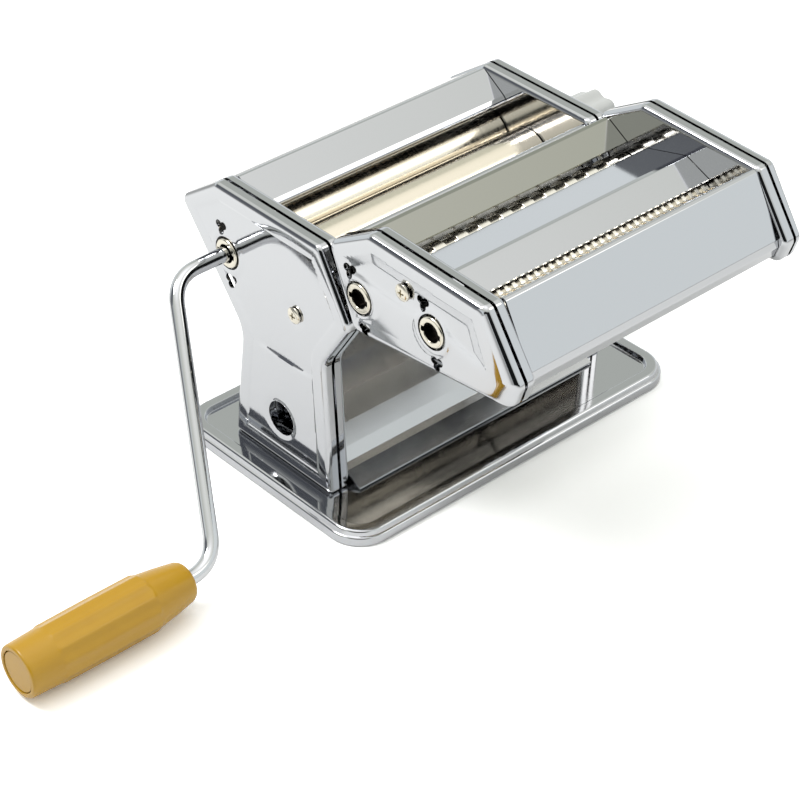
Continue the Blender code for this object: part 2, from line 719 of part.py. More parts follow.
def cutter_rollers():
    (wide_driven, wide_front), (thin_driven, thin_front) = cutter_axes()
    slotted_roller("wide_cutter_driven", wide_driven, WIDE_SLOT, 0, WIDE_SPARE, 12)
    slotted_roller("wide_cutter_front", wide_front, WIDE_SLOT, 1, WIDE_SPARE, 12)
    slotted_roller("thin_cutter_driven", thin_driven, THIN_SLOT, 0, THIN_SPARE, 8)
    slotted_roller("thin_cutter_front", thin_front, THIN_SLOT, 1, THIN_SPARE, 8)
    teeth = 12
    toward = math.radians(180 - CUTTER_TILT)
    pitch = CUTTER_CENTRES / 2
    bore = CUTTER_JOURNAL_R + RUN
    for label, driven, front in (("wide", wide_driven, wide_front), ("thin", thin_driven, thin_front)):
        gear(f"{label}_driven_gear", teeth, driven, pitch, toward, bore)
        gear(f"{label}_front_gear", teeth, front, pitch, toward + math.pi + math.pi / teeth, bore)
        socket(f"{label}_socket", driven)


def cutter_panels():
    inside = INNER_X - GAP
    rear = [(-48.5, 129.0), (-37.2, 135.6), (-34.8, 135.6), (-34.4, 133.4), (-38.5, 123.5)]
    folded_sheet("cutter_rear_guard", rear, inside, (CHROME, 0.08, 1.0))
    ridge = [(-60.6, 130.8), (-82.2, 136.6), (-84.2, 136.8), (-85.8, 136.2), (-97.5, 131.4)]
    folded_sheet("cutter_middle_guard", ridge, inside, (CHROME, 0.08, 1.0), 0.8 * MM)
    front = [
        (-112.5, 136.6), (-120.4, 146.2), (-121.6, 146.9), (-122.9, 146.2), (-137.6, 119.8),
        (-138.2, 116.6), (-136.4, 111.6), (-133.2, 109.4), (-127.5, 108.6),
    ]
    folded_sheet("cutter_front_panel", front, inside, (CHROME, 0.08, 1.0))


base()
body_covers()
body_panels()
scrapers()
tie_rods()
cover_screws()
sheet_rollers()
thickness_knob()
crank()
cutter_covers()
cutter_panels()
cutter_rollers()
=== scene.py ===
# Looks of the hand-cranked pasta machine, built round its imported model. Lengths in this file are millimetres
# turned to metres by MM, in the model's own frame: X along the rollers, the crank at -X, the cutter towards -Y.

import math

import bmesh
import bpy
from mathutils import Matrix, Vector


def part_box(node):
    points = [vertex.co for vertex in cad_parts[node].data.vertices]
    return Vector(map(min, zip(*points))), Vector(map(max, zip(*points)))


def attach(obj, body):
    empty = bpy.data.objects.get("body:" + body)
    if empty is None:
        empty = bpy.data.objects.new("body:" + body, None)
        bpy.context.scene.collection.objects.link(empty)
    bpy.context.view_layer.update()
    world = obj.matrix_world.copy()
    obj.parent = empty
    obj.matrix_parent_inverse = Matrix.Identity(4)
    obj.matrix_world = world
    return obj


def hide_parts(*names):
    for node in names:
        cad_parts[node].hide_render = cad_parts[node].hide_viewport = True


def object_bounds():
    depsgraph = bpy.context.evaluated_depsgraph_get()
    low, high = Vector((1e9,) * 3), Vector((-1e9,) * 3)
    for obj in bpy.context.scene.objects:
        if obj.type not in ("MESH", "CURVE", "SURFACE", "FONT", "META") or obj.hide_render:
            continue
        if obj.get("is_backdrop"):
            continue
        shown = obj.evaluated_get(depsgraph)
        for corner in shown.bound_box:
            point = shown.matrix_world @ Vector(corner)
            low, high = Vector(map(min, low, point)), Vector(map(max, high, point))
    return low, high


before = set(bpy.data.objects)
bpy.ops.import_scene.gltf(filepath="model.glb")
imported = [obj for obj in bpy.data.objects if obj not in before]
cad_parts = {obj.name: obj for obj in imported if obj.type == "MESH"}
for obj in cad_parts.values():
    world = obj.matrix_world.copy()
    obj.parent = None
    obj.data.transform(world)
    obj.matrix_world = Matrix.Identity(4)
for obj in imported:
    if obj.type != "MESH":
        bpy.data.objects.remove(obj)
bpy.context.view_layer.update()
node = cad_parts
MM = 0.001

# ---------------------------------------------------------------- base plate
# The foot of the machine: one pressed steel sheet with a flat floor, a raised flat bead round its edge and a
# turned-down skirt, chromium plated after pressing. It rests on four feet.


def linear(hex_colour):
    """An sRGB hex colour as linear RGBA."""
    channels = [int(hex_colour[i:i + 2], 16) / 255 for i in (1, 3, 5)]
    return tuple(c / 12.92 if c <= 0.04045 else ((c + 0.055) / 1.055) ** 2.4 for c in channels) + (1.0,)


def add(tree, kind, settings=None, links=None):
    """Adds one node with its settings and the sockets that feed it."""
    made = tree.nodes.new(kind)
    for key, value in (settings or {}).items():
        if hasattr(made, str(key)):
            setattr(made, key, value)
        else:
            made.inputs[key].default_value = value
    for key, source in (links or {}).items():
        tree.links.new(source, made.inputs[key])
    return made


def blank_material(name):
    """A new node material: itself, its tree, its Principled shader and the object's own coordinates."""
    material = bpy.data.materials.new(name)
    material.use_nodes = True
    tree = material.node_tree
    return material, tree, tree.nodes["Principled BSDF"], add(tree, "ShaderNodeTexCoord").outputs["Object"]


def noise(tree, at, grain_mm, detail):
    """A noise pattern with grains of a real size."""
    settings = {"Scale": 1000 / grain_mm, "Detail": detail}
    return add(tree, "ShaderNodeTexNoise", settings, {"Vector": at}).outputs["Fac"]


def drift_roughness(tree, shader, pattern, smooth, rough):
    """Moves a shader's roughness between two values with a pattern."""
    span = {"From Min": 0.3, "From Max": 0.7, "To Min": smooth, "To Max": rough}
    haze = add(tree, "ShaderNodeMapRange", span, {"Value": pattern})
    tree.links.new(haze.outputs["Result"], shader.inputs["Roughness"])


def raise_surface(tree, shader, pattern, height):
    """Raises a surface with a pattern, by up to a height in metres."""
    bump = add(tree, "ShaderNodeBump", {"Distance": height}, {"Height": pattern})
    tree.links.new(bump.outputs["Normal"], shader.inputs["Normal"])


def mottle(tree, shader, pattern, first, second):
    """Mixes two hex colours with a pattern."""
    mix = add(tree, "ShaderNodeMix", {"data_type": "RGBA"}, {"Factor": pattern})
    mix.inputs["A"].default_value = linear(first)
    mix.inputs["B"].default_value = linear(second)
    tree.links.new(mix.outputs["Result"], shader.inputs["Base Color"])


def metal(name, colour, smooth, rough, cloud_mm, wave_mm=0.0, wave_height=0.0):
    """A bare or plated metal: its roughness drifts from smooth to rough in clouds, its surface in slow waves."""
    material, tree, shader, at = blank_material(name)
    shader.inputs["Base Color"].default_value = linear(colour)
    shader.inputs["Metallic"].default_value = 1.0
    drift_roughness(tree, shader, noise(tree, at, cloud_mm, 3.0), smooth, rough)
    if wave_height:
        raise_surface(tree, shader, noise(tree, at, wave_mm, 0.0), wave_height)
    return material


def piece(name, work, material, body, slot, *stands_for, sharp=35):
    """Makes a bmesh one piece of the machine that rides on a body and stands for CAD nodes."""
    bmesh.ops.recalc_face_normals(work, faces=work.faces)
    mesh = bpy.data.meshes.new(name)
    work.to_mesh(mesh)
    work.free()
    mesh.shade_smooth()
    mesh.set_sharp_from_angle(angle=math.radians(sharp))
    made = bpy.data.objects.new(name, mesh)
    bpy.context.scene.collection.objects.link(made)
    mesh.materials.append(material)
    even = made.modifiers.new("flat faces stay flat", "WEIGHTED_NORMAL")
    even.keep_sharp = True
    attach(made, body)
    if stands_for:
        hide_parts(*stands_for)
    return made


def loft(rings, closed=False, work=None):
    """A skin through rings of equal count, capped at both ends or closed on itself."""
    work = work or bmesh.new()
    rows = [[work.verts.new(p) for p in ring] for ring in rings]
    n = len(rows[0])
    pairs = list(zip(rows, rows[1:]))
    if closed:
        pairs.append((rows[-1], rows[0]))
    else:
        work.faces.new(rows[0])
        work.faces.new(rows[-1])
    for a, b in pairs:
        for i in range(n):
            j = (i + 1) % n
            work.faces.new((a[i], a[j], b[j], b[i]))
    return work


base_corner = 17.0


def base_ring(inset, z):
    """The base's outline, inset and height in millimetres."""
    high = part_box("base_plate")[1]
    corner = base_corner - inset
    out = []
    for k, (sx, sy) in enumerate(((1, 1), (-1, 1), (-1, -1), (1, -1))):
        for s in range(17):
            a = math.pi / 2 * (k + s / 16)
            x = sx * (high.x / MM - inset - corner) + corner * math.cos(a)
            y = sy * (high.y / MM - inset - corner) + corner * math.sin(a)
            out.append((x * MM, y * MM, z * MM))
    return out


def arc(centre, radius, start, end, steps):
    """Points (a, b) round an arc, angles in degrees."""
    turns = [math.radians(start + (end - start) * s / steps) for s in range(steps + 1)]
    return [(centre[0] + radius * math.cos(a), centre[1] + radius * math.sin(a)) for a in turns]


chrome_sheet = metal("chromium_plated_pressed_steel", "#c3c4c7", 0.05, 0.1, 22, 45, 0.00006)
rim_top = 3.6
section = [(14.0, 1.2), (9.4, 1.2)] + arc((8.6, 2.0), 0.8, -90, -150, 4)[1:]
section += [(7.5, 3.1)] + arc((6.9, 2.9), 0.7, 20, 90, 4)
section += [(3.4, rim_top)] + arc((3.2, rim_top - 1.4), 1.4, 95, 160, 5)
section += [(1.4, 1.1)] + arc((1.3, -0.1), 1.1, 110, 180, 5) + [(0.2, -3.3), (1.1, -3.3)]
section += [(1.3, -0.4), (3.0, 2.2), (6.4, 2.3), (8.2, 0.0)]
plate = loft([base_ring(inset, z) for inset, z in section])
piece("base_plate_sheet", plate, chrome_sheet, "machine_body", "mirror_chrome", "base_plate", sharp=50)

# ---------------------------------------------------------------- feet
# Four turned rubber feet under the base, moulded black rubber with the dull skin that moulding leaves.
rubber, tree, shader, at = blank_material("moulded_black_rubber")
shader.inputs["Roughness"].default_value = 0.75
mottle(tree, shader, noise(tree, at, 1.5, 4.0), "#161617", "#29292a")
turn = [2 * math.pi * i / 32 for i in range(32)]
for corner in ("fl", "fr", "bl", "br"):
    low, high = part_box(f"rubber_foot_{corner}")
    middle = (low + high) / 2
    radius = (high.x - low.x) / 2
    rings = []
    for share, z in ((0.82, low.z), (0.87, low.z + 0.5 * MM), (0.95, high.z - 0.8 * MM), (0.98, high.z)):
        rings.append([(middle.x + share * radius * math.cos(a), middle.y + share * radius * math.sin(a), z)
                      for a in turn])
    piece(f"foot_{corner}", loft(rings), rubber, "machine_body", "foot_rubber", f"rubber_foot_{corner}")

# ---------------------------------------------------------------- side covers of the body
# Each side of the body is a pair of deep-drawn pans, mouth to mouth with an open seam. The outer pan's field is
# pressed in behind a border, with a lens-shaped crease across the waist and a turned-up collar round the socket.
inner_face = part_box("body_inner_cover_knob_side")[0].x / MM
outer_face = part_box("body_outer_cover_knob_side")[1].x / MM
seam_middle = (inner_face + outer_face) / 2
seam_half = 0.8
sheet_thick = 1.0
body_outline = [
    (-29.0, 1.5, 1.5), (38.5, 1.5, 1.5), (30.5, 61.0, 16.0), (71.0, 112.0, 4.0),
    (45.0, 130.0, 4.0), (-24.0, 129.5, 4.0), (-43.0, 97.0, 6.0), (-25.0, 70.0, 14.0),
]
drive_axis = (38.5, 97.0)
adjust_axis = (11.3, 97.0)
clamp_hole = (5.4, 24.9, 8.5)
body_screw = (-7.1, 87.0)
screw_hole = 2.3
socket_hole = 8.0
journal_hole = 4.6
collar = 9.3


def outline(corners, inset, steps=8):
    """The rounded outline of corners (y, z, fillet) moved inward, as (y, z)."""
    n = len(corners)
    points = [Vector((c[0], c[1])) for c in corners]
    out = []
    for i in range(n):
        p, before, after = points[i], points[i - 1], points[(i + 1) % n]
        a, b = (p - before).normalized(), (after - p).normalized()
        side = 1 if a.x * b.y - a.y * b.x > 0 else -1
        half = math.acos(max(-1.0, min(1.0, a.dot(b)))) / 2
        middle = (Vector((-a.y, a.x)) + Vector((-b.y, b.x))).normalized()
        radius = max(corners[i][2] - side * inset, 0.6)
        centre = p + middle * (inset + side * radius) / math.cos(half)
        start = math.atan2(-side * a.x, side * a.y)
        for s in range(steps + 1):
            angle = start + side * 2 * half * s / steps
            out.append(centre + radius * Vector((math.cos(angle), math.sin(angle))))
    return out


def inset_corners(corners, inset):
    """The corners (y, z, fillet) of an outline moved inward."""
    moved = []
    for i, (y, z, fillet) in enumerate(corners):
        p, before, after = Vector((y, z)), Vector(corners[i - 1][:2]), Vector(corners[(i + 1) % len(corners)][:2])
        a, b = (p - before).normalized(), (after - p).normalized()
        side = 1 if a.x * b.y - a.y * b.x > 0 else -1
        half = math.acos(max(-1.0, min(1.0, a.dot(b)))) / 2
        middle = (Vector((-a.y, a.x)) + Vector((-b.y, b.x))).normalized()
        at = p + middle * inset / math.cos(half)
        moved.append((at.x, at.y, max(fillet - side * inset, 0.6)))
    return moved


def pan(corners, face_corners, side, face, bend=2.6, border=()):
    """A drawn pan as a bmesh: mouth at the seam, its floor at x = face, with corners in millimetres."""
    into = 1 if face < seam_middle else -1
    rim = seam_middle - into * seam_half
    mouth = outline(corners, 0)
    floor = outline(face_corners, 0)
    sections = [(rim, 0.0)]
    for s in range(9):
        a = math.pi / 2 * s / 8
        sections.append((face + into * bend * (1 - math.sin(a)), 1 - math.cos(a)))
    rings = []
    for x, share in sections:
        rings.append([(side * x, *(m.lerp(f, share))) for m, f in zip(mouth, floor)])
    for inset, drop in border:
        rings.append([(side * (face + into * drop), *p) for p in outline(face_corners, inset)])
    inside = outline(corners, sheet_thick)
    deep = face + into * (sheet_thick + 0.5)
    lining = [(deep, outline(corners, bend + 2.0)), (deep + into * (bend - sheet_thick), inside), (rim, inside)]
    skin = [[Vector(p) * MM for p in ring] for ring in rings[::-1]]
    back = [[Vector((side * x, *p)) * MM for p in ring] for x, ring in lining[::-1]]
    return loft(skin + back)


def press(work, side, face, spacing, relief):
    """Cuts the flat floor of a pan into a grid and pushes it into relief (y, z in, height out, millimetres)."""
    level = side * face * MM
    field = max((f for f in work.faces if all(abs(v.co.x - level) < 1e-6 for v in f.verts)),
                key=lambda f: f.calc_area())
    faces = [field]
    for axis in (1, 2):
        low = min(v.co[axis] for f in faces for v in f.verts)
        high = max(v.co[axis] for f in faces for v in f.verts)
        for k in range(1, int((high - low) / (spacing * MM)) + 1):
            at = Vector((0, 0, 0))
            at[axis] = low + k * spacing * MM
            normal = Vector((0, 0, 0))
            normal[axis] = 1
            geometry = list({v for f in faces for v in f.verts})
            geometry += list({e for f in faces for e in f.edges}) + faces
            bmesh.ops.bisect_plane(work, geom=geometry, dist=1e-7, plane_co=at, plane_no=normal)
            faces = [f for f in work.faces if all(abs(v.co.x - level) < 1e-6 for v in f.verts)]
    for v in {v for f in faces for v in f.verts}:
        v.co.x += side * relief(v.co.y / MM, v.co.z / MM) * MM


def round_cutter(x0, x1, y, z, r, n=48):
    """A round bar along X to cut with, in millimetres."""
    turn = [2 * math.pi * i / n for i in range(n)]
    return loft([[(x * MM, (y + r * math.cos(a)) * MM, (z + r * math.sin(a)) * MM) for a in turn]
                 for x in (x0, x1)])


lobe = 1.9
lobe_turn = 0.5


def lobed_cutter(x0, x1, y, z):
    """The three-lobed hole that a motor's claw goes in: round lobes, each as far out as it is wide."""
    ring = []
    for i in range(48):
        a = 2 * math.pi * i / 48
        off = (a - lobe_turn + math.pi / 3) % (2 * math.pi / 3) - math.pi / 3
        r = lobe * math.cos(off) + math.sqrt(lobe ** 2 - (lobe * math.sin(off)) ** 2)
        ring.append((y + r * math.cos(a), z + r * math.sin(a)))
    return loft([[(x * MM, p[0] * MM, p[1] * MM) for p in ring] for x in (x0, x1)])


def carve(work, cutters):
    """Takes closed shapes out of another with an exact Boolean, all as bmeshes."""
    made = []
    for one in [work] + cutters:
        bmesh.ops.recalc_face_normals(one, faces=one.faces)
        mesh = bpy.data.meshes.new("carving")
        one.to_mesh(mesh)
        one.free()
        made.append(bpy.data.objects.new("carving", mesh))
        bpy.context.scene.collection.objects.link(made[-1])
    for tool in made[1:]:
        step = made[0].modifiers.new("cut", "BOOLEAN")
        step.object = tool
        step.solver = "EXACT"
    whole = bmesh.new()
    whole.from_mesh(made[0].evaluated_get(bpy.context.evaluated_depsgraph_get()).to_mesh())
    for one in made:
        bpy.data.objects.remove(one)
    return whole


def hill(distance, width):
    """A rounded ridge of height 1."""
    return math.exp(-(distance / width) ** 2)


def body_relief(y, z, socket):
    """Pressed relief of the body's outer pans; only a pan with a socket has the collar round it."""
    height = 0.45 * hill(math.dist((y, z), drive_axis) - collar, 1.0) if socket else 0.0
    height -= 0.6 * hill(math.dist((y, z), clamp_hole[:2]) - clamp_hole[2], 1.3)
    height -= 0.35 * hill(math.dist((y, z), body_screw) - 4.4, 1.2)
    along = (y - 1.0) / 23.0
    if abs(along) < 1 and 0 <= z - 59.0 < 12:
        height -= 1.2 * math.exp(-(z - 59.0) / 3.0) * (1 - along ** 2)
    return height


body_lobes = ((3.6, 11.9), (-2.2, -13.2))
border = ((4.2, 0.0), (5.4, 0.45), (6.2, 0.45))
for side, label in ((-1, "crank_side"), (1, "knob_side")):
    ends = sorted((side * (outer_face - 4), side * (outer_face + 4)))
    holes = [round_cutter(*ends, *clamp_hole), round_cutter(*ends, *body_screw, screw_hole)]
    if side < 0:
        holes.append(round_cutter(*ends, *drive_axis, socket_hole, 64))
        holes += [lobed_cutter(*ends, drive_axis[0] + y, drive_axis[1] + z) for y, z in body_lobes]
    shell = pan(body_outline, inset_corners(body_outline, 2.6), side, outer_face, border=border)
    press(shell, side, outer_face - border[-1][1], 1.2, lambda y, z: body_relief(y, z, side < 0))
    name = f"body_outer_cover_{label}"
    piece(f"{name}_sheet", carve(shell, holes), chrome_sheet, "machine_body", "mirror_chrome", name)
    ends = sorted((side * (inner_face - 4), side * (inner_face + 4)))
    y, z = adjust_axis
    bearing_slot = outline([(y + a, z + b, 4.7) for a, b in ((-7.8, -4.8), (4.8, -4.8), (4.8, 4.8), (-7.8, 4.8))], 0)
    holes = [round_cutter(*ends, *clamp_hole), round_cutter(*ends, *body_screw, screw_hole),
             round_cutter(*ends, *drive_axis, journal_hole),
             loft([[(x * MM, p[0] * MM, p[1] * MM) for p in bearing_slot] for x in ends])]
    shell = pan(body_outline, inset_corners(body_outline, 2.6), side, inner_face)
    name = f"body_inner_cover_{label}"
    piece(f"{name}_sheet", carve(shell, holes), chrome_sheet, "machine_body", "mirror_chrome", name)

# ---------------------------------------------------------------- guards, panels and chute
# The sheets between the sides: folded from 1 mm steel with small outside bends, then chromium plated like the
# covers. Their ends stop just short of the inner pans.
sheet_gap = 0.3


def rounded_path(path, bend, steps=6):
    """An open path of (y, z) with every corner rounded by a bend radius, in millimetres."""
    out = [Vector(path[0])]
    for before, p, after in zip(path, path[1:], path[2:]):
        p = Vector(p)
        a, b = (p - Vector(before)), (Vector(after) - p)
        turn = a.angle(b)
        if turn < 0.01:
            continue
        reach = min(bend * math.tan(turn / 2), 0.49 * a.length, 0.49 * b.length)
        start, end = p - a.normalized() * reach, p + b.normalized() * reach
        for s in range(steps + 1):
            t = s / steps
            out.append(start * (1 - t) ** 2 + p * 2 * t * (1 - t) + end * t ** 2)
    out.append(Vector(path[-1]))
    return out


def folded(name, path, bend, thick, material, body, slot, stands_for):
    """A folded sheet along X between the sides, its two edges slightly pointed."""
    line = rounded_path(path, bend)
    left, right = [], []
    for i, p in enumerate(line):
        a = (p - line[i - 1]).normalized() if i else (line[1] - p).normalized()
        b = (line[i + 1] - p).normalized() if i + 1 < len(line) else a
        normal = Vector((-(a + b).y, (a + b).x)).normalized()
        grow = thick / 2 / max(0.5, normal.dot(Vector((-a.y, a.x))))
        left.append(p + normal * grow)
        right.append(p - normal * grow)
    far = line[-1] + (line[-1] - line[-2]).normalized() * thick * 0.4
    near = line[0] - (line[1] - line[0]).normalized() * thick * 0.4
    ring = left + [far] + right[::-1] + [near]
    half = inner_face - sheet_gap
    work = loft([[(x * MM, p.x * MM, p.y * MM) for p in ring] for x in (-half, half)])
    return piece(name, work, material, body, slot, stands_for, sharp=50)


body_sheets = {
    "pasta_chute": (1.5, [(31, 72), (28.5, 62), (24, 52.5), (17.5, 44.5), (8, 37), (-3, 29), (-12, 21),
                          (-18.5, 13.5), (-22, 8), (-25, 6.2), (-34.5, 2.2)]),
    "rear_panel": (3.0, [(48, 126.4), (66.8, 113.6), (68.4, 111.2), (40.2, 75.6), (35, 68.5), (31.3, 61),
                         (30.4, 52), (36.8, 3)]),
    "rear_hopper_guard": (0.9, [(45.6, 126.5), (44.8, 128.3), (43.2, 128.4), (30.2, 119.9), (28.6, 118.3),
                                (28.8, 116.6), (30.4, 115.9)]),
    "front_hopper_guard": (0.9, [(-6.5, 108.5), (-21.5, 126.3), (-23.2, 126.4), (-40.2, 97.4), (-38.2, 93.4)]),
}
satin_chrome = metal("chromium_plated_rolled_satin_sheet", "#bdbebf", 0.18, 0.26, 18)
for name, (bend, path) in body_sheets.items():
    finish = satin_chrome if name == "pasta_chute" else chrome_sheet
    folded(f"{name}_sheet", path, bend, sheet_thick, finish, "machine_body", "mirror_chrome", name)

# ---------------------------------------------------------------- tie rods and dough scrapers
# Drawn steel rods between the inner pans, and two spring-steel blades that lift dough off the rollers' undersides.
# They sit inside the body and keep the model's own shapes.


def dress(names, material):
    """Gives nodes of the model a finish."""
    for name in names:
        node[name].data.materials.clear()
        node[name].data.materials.append(material)


drawn_steel = metal("bright_drawn_steel", "#b9b7b2", 0.16, 0.3, 6)
dress(("tie_rod_screw", "tie_rod_rear", "tie_rod_leg", "cutter_tie_rod_middle", "cutter_tie_rod_front"),
      drawn_steel)
dress(("rear_dough_scraper", "front_dough_scraper"), drawn_steel)

# ---------------------------------------------------------------- sheet rollers
# A driven and an adjustable roller, turned from steel and polished along the turning, which leaves fine lines round
# the axis. The steel is warmer than the plating. Each end steps down to a journal.


def spun(profile, axis, steps=64, closed=False, ripple=None):
    """A turned piece on an axis along X through (y, z); profile holds (x, radius), ripple(angle, k) adds to it."""
    rings = []
    for k, (x, radius) in enumerate(profile):
        ring = []
        for i in range(steps):
            a = 2 * math.pi * i / steps
            r = radius + (ripple(a, k) if ripple else 0)
            ring.append((x * MM, (axis[0] + r * math.cos(a)) * MM, (axis[1] + r * math.sin(a)) * MM))
        rings.append(ring)
    return loft(rings, closed)


def turned_metal(name, colour, smooth, rough, line_mm, depth_mm):
    """A turned metal with fine lines round its axis along X."""
    material, tree, shader, at = blank_material(name)
    shader.inputs["Base Color"].default_value = linear(colour)
    shader.inputs["Metallic"].default_value = 1.0
    across = add(tree, "ShaderNodeMapping", {"Scale": (1.0, 0.04, 0.04)}, {"Vector": at})
    lines = noise(tree, across.outputs[0], line_mm, 2.0)
    drift_roughness(tree, shader, lines, smooth, rough)
    raise_surface(tree, shader, lines, depth_mm * MM)
    return material


polished_steel = turned_metal("polished_turned_roller_steel", "#ece3d2", 0.14, 0.24, 0.9, 0.0012)
shaft_end = 82.15
roller_end = inner_face - 0.5
journal, roller = 4.5, 13.4
half = [(shaft_end, journal - 0.5), (shaft_end - 0.5, journal), (roller_end, journal), (roller_end, roller - 0.5),
        (roller_end - 0.5, roller)]
profile = half + [(-x, r) for x, r in half[::-1]]
for name, axis in (("drive_roller", drive_axis), ("adjustable_roller", adjust_axis)):
    piece(f"{name}_steel", spun(profile, axis, 96), polished_steel, name, "roller_steel", name)

# ---------------------------------------------------------------- gears and bearings
# Milled steel gears join each pair of rollers between the pans on the crank's side; bored brass eccentrics carry the
# adjustable roller. Both are inside the housing and keep the model's own shapes.
gear_names = [name for name in node if name.endswith("_gear")]
dress(gear_names, metal("milled_gear_steel", "#a6a39c", 0.28, 0.42, 3))
brass = metal("machined_bearing_brass", "#b8924a", 0.25, 0.4, 4)
dress(("adjuster_bearing_crank_side", "adjuster_bearing_knob_side"), brass)

# ---------------------------------------------------------------- crank sockets
# A turned, nickel-plated ring on the end of each driven shaft, rounded at the mouth, with a cross slot for the crank's
# pin. Its blind bore and the floor of its cross slot carry a dark steel colour as painted shade, so that they read as
# deep.
nickel = metal("nickel_plated_turned_steel", "#d8d2c4", 0.1, 0.22, 5)
# A dark steel colour painted into the bore and the slot floor as shade; it is not a finish of the real steel.
bore_painted_shade_steel = metal("steel_painted_dark_for_bore_shade", "#3a3632", 0.25, 0.4, 3)
wide_axis = (-50.0, 117.0)
thin_axis = (-94.0, 122.5)
bore = 4.4
for label, body, axis in (("drive", "drive_roller", drive_axis), ("wide", "wide_driven", wide_axis),
                          ("thin", "thin_driven", thin_axis)):
    low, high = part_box(f"{label}_socket")
    back, face = high.x / MM, low.x / MM
    outer = (high.y - low.y) / 2 / MM
    lip = arc((face + 0.9, outer - 0.9), 0.9, 90, 180, 6)
    mouth = arc((face + 0.5, bore + 0.5), 0.5, 180, 270, 4)
    ring = spun([(back, outer)] + lip + mouth + [(back - 0.5, bore)], axis, 64)
    y, z = axis
    notch = [(y - 5.7, z - 1.25), (y + 5.7, z - 1.25), (y + 5.7, z + 1.25), (y - 5.7, z + 1.25)]
    cross_slot = loft([[(x * MM, p[0] * MM, p[1] * MM) for p in notch] for x in (face - 1, face + 3.4)])
    made = piece(f"{label}_socket_ring", carve(ring, [cross_slot]), nickel, body, "nickel", f"{label}_socket")
    made.data.materials.append(bore_painted_shade_steel)
    # Bore and slot-floor faces take the second material: painted shade where the socket is deep.
    for polygon in made.data.polygons:
        middle = polygon.center / MM
        off = math.dist((middle.y, middle.z), axis)
        slot_floor = face + 3 < middle.x < back - 0.2 and off < outer - 0.4
        if off < bore + 0.05 or slot_floor:
            polygon.material_index = 1

# ---------------------------------------------------------------- cross-head screws
# Four pan-head screws through the sides, nickel plated: a low domed head with a cross recess and a plain shank.
cutter_screw = (-76.6, 133.1)
shank = 1.9
recess_reach, recess_half, recess_depth = 2.1, 0.42, 1.1
seat, top = outer_face - 0.4, outer_face + 1.1
dome = [(seat, shank), (seat, 3.9), (seat + 0.4, 4.0), (seat + 0.8, 3.85), (seat + 1.2, 3.2), (seat + 1.42, 2.2),
        (top, 0.9)]
for label, body, (y, z) in (("body_screw", "machine_body", body_screw), ("cutter_screw", "cutter", cutter_screw)):
    for side, end in ((-1, "crank_side"), (1, "knob_side")):
        low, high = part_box(f"{label}_{end}")
        tip = min(abs(low.x), abs(high.x)) / MM
        head = spun([(side * x, r) for x, r in [(tip, shank)] + dome], (y, z), 48)
        blades = []
        for upright in (False, True):
            rings = []
            for x, reach in ((top - recess_depth, recess_reach * 0.6), (top + 1.0, recess_reach * 1.15)):
                across, up = (recess_half, reach) if upright else (reach, recess_half)
                rings.append([(side * x * MM, (y + a * across) * MM, (z + b * up) * MM)
                              for a, b in ((-1, -1), (1, -1), (1, 1), (-1, 1))])
            blades.append(loft(rings))
        piece(f"{label}_{end}_head", carve(head, blades), nickel, body, "nickel", f"{label}_{end}")

# ---------------------------------------------------------------- thickness knob
# A moulded grey knob with nine lobes behind a round flange. It pulls out against a coil spring on a fixed post, whose
# flat head shows in the knob's well.


def moulded(name, colour, pale, rough, grain_mm, grain_height):
    """A moulded plastic with a faint mottle and the fine texture of its mould."""
    material, tree, shader, at = blank_material(name)
    shader.inputs["Roughness"].default_value = rough
    mottle(tree, shader, noise(tree, at, 9, 3.0), colour, pale)
    raise_surface(tree, shader, noise(tree, at, grain_mm, 2.0), grain_height * MM)
    return material


grey_plastic = moulded("moulded_grey_plastic", "#a9aaa9", "#b4b5b3", 0.32, 1.2, 0.01)
back, front = outer_face + 4.4, outer_face + 34.4
flange = [(back, 17.6), (back + 0.8, 18.6), (back + 5.4, 18.6)] + arc((back + 5.4, 17.4), 1.2, 90, 20, 4)
grip = [(back + 7.4, 17.2), (back + 12, 17.0), (front - 2.4, 16.6)]
crown = arc((front - 1.6, 15.0), 1.6, 80, 0, 5)
outside = flange + grip + crown
inside = [(front, 7.8), (front - 0.4, 7.4), (back + 9.0, 7.4), (back + 9.0, 3.9), (back, 3.9)]
sunk = [0.0] * len(flange) + [1.6, 1.9, 2.0] + [2.0] * len(crown) + [0.0] * len(inside)
knob = spun(outside + inside, adjust_axis, 144, True, lambda a, k: -sunk[k] * (0.5 - 0.5 * math.cos(9 * a)))
piece("thickness_knob_moulding", knob, grey_plastic, "knob", "grey_plastic", "thickness_knob")
head = front - 2.2
post = [(outer_face + 0.3, 12.6), (outer_face + 0.7, 13.0), (outer_face + 3.1, 13.0), (outer_face + 3.5, 12.6),
        (outer_face + 3.5, 3.8), (head - 2.4, 3.8), (head - 2.4, 6.3), (head - 0.4, 6.3), (head, 5.9)]
piece("knob_post_turning", spun(post, adjust_axis, 64), nickel, "machine_body", "nickel", "knob_post")
dress(("knob_spring",), drawn_steel)

# ---------------------------------------------------------------- crank
# One bent steel rod, chromium plated: out of the socket, over two wide bends and into the handle. The handle is a
# glossy moulded grip with twelve shallow flutes that turns freely on the rod; a round cap closes its end.


def tube(path, radius, sides):
    """A round rod through points (x, y, z) in millimetres, with slightly broken ends."""
    points = [Vector(p) for p in path]
    turn = [2 * math.pi * s / sides for s in range(sides)]
    rings = []
    up = Vector((0, 0, 1))
    for i, p in enumerate(points):
        ahead = (points[min(i + 1, len(points) - 1)] - points[max(i - 1, 0)]).normalized()
        a = ahead.cross(up).normalized()
        b = a.cross(ahead)
        sections = [(0, 1.0)]
        if i == 0:
            sections = [(0, 0.85), (0.5, 1.0)]
        elif i == len(points) - 1:
            sections = [(-0.5, 1.0), (0, 0.85)]
        for shift, share in sections:
            rings.append([(p + ahead * shift + radius * share * (a * math.cos(t) + b * math.sin(t))) * MM
                          for t in turn])
    return loft(rings)


